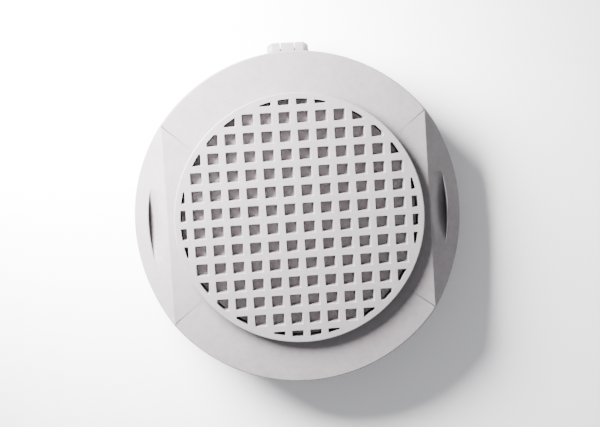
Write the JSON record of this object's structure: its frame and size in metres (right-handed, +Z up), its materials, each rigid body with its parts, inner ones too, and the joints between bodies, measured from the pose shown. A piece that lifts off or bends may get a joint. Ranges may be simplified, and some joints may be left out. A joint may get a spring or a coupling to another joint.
{
  "type": "grid flower frog",
  "caption": "Round low water dish with foam inside and a hinged cover that has sloped grip flats, finger scoops and a raised square-cell grid for flower stems.",
  "frame": {"origin": "middle of the resting face, on the underside of the rubber pad", "axes": "+Z up through the stem grid, +Y towards the hinge at the back, -X and +X towards the two grip flats"},
  "size_m": [0.1, 0.103, 0.0234],
  "materials": {
    "cover_plastic": "fine matt moulded texture, pale warm grey",
    "grid_plastic": "fine matt moulded texture, pale warm grey",
    "shell_plastic": "fine matt moulded texture, pale warm grey",
    "tank_plastic": "smooth matt, grey",
    "stem_foam": "fine open-cell floral foam, mauve grey",
    "pad_rubber": "matt, dark",
    "ballast_steel": "zinc plated",
    "pin_steel": "bright drawn",
    "screw_steel": "bright"
  },
  "bodies": {
    "base": {"base_shell": "shell_plastic", "water_tank": "tank_plastic", "foam_block": "stem_foam", "ballast_plate": "ballast_steel", "base_pad": "pad_rubber", "hinge_pin": "pin_steel", "tank_screw_1": "screw_steel", "tank_screw_2": "screw_steel", "tank_screw_3": "screw_steel", "tank_screw_4": "screw_steel"},
    "cover": {"cover": "cover_plastic"},
    "grid": {"stem_grid": "grid_plastic"}
  },
  "joints": [
    {"name": "cover_hinge", "type": "hinge", "parent": "base", "child": "cover", "pos_m": [0, 0.0504, 0.0095], "axis": [-1, 0, 0], "range_deg": [0, 105]},
    {"name": "grid_lift", "type": "slide", "parent": "cover", "child": "grid", "axis": [0, 0, 1], "range_m": [0, 0.012]}
  ]
}
